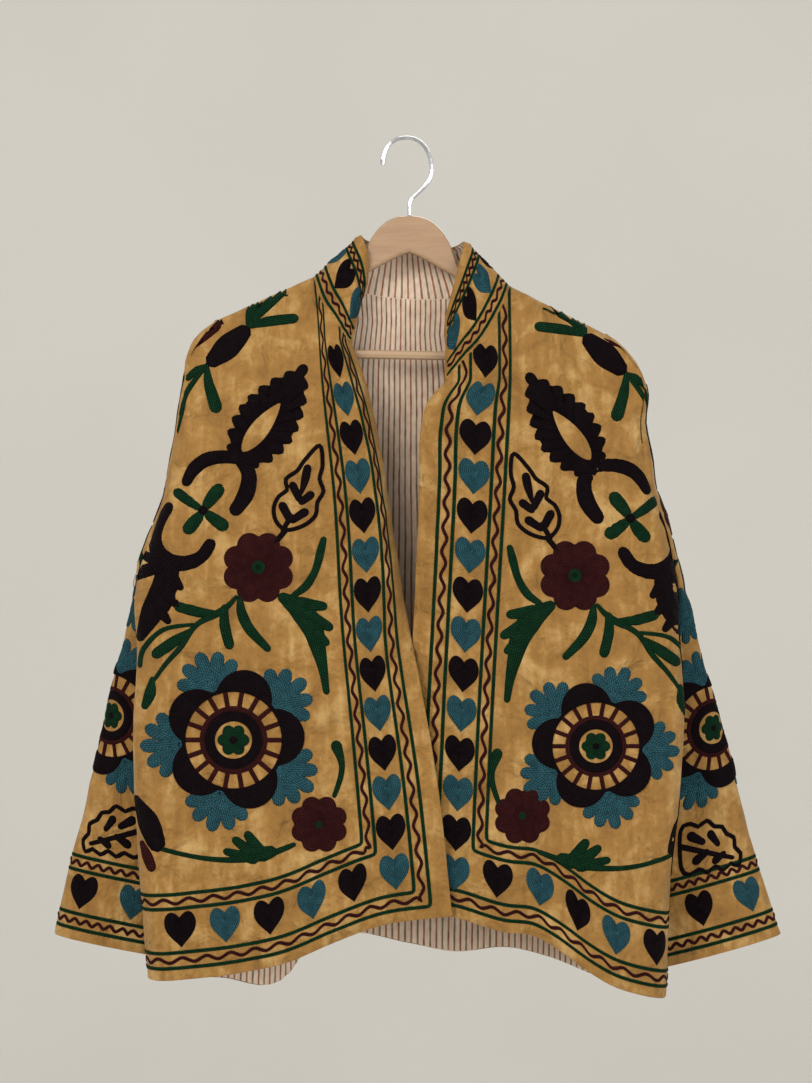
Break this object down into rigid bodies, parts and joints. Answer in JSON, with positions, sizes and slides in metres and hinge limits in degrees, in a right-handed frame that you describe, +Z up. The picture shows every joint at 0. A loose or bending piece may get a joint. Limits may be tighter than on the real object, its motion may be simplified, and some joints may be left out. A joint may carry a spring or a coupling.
{
  "type": "embroidered velvet jacket on a wooden coat hanger",
  "caption": "Open-fronted wide-sleeved jacket with a stand collar and striped lining, hanging on a flat wooden hanger with a round bar and a wire hook.",
  "frame": {"origin": "inside top of the hanger hook's crown, where it hangs on a rod or a wall hook", "axes": "+Z up, +X to the viewer's right as the open front is seen, +Y from the front panels towards the back"},
  "size_m": [0.7357, 0.122, 0.8554],
  "materials": {
    "velvet": "matte",
    "lining": "matte",
    "wood": "satin",
    "wire": "polished",
    "yarn": "matte"
  },
  "bodies": {
    "root": {"front_left": "velvet", "front_right": "velvet", "back": "velvet", "back_lining": "lining", "sleeve_left": "velvet", "sleeve_right": "velvet", "collar": "velvet", "collar_lining": "lining", "hanger_wood": "wood", "hanger_bar": "wood", "hanger_hook": "wire"}
  },
  "joints": []
}
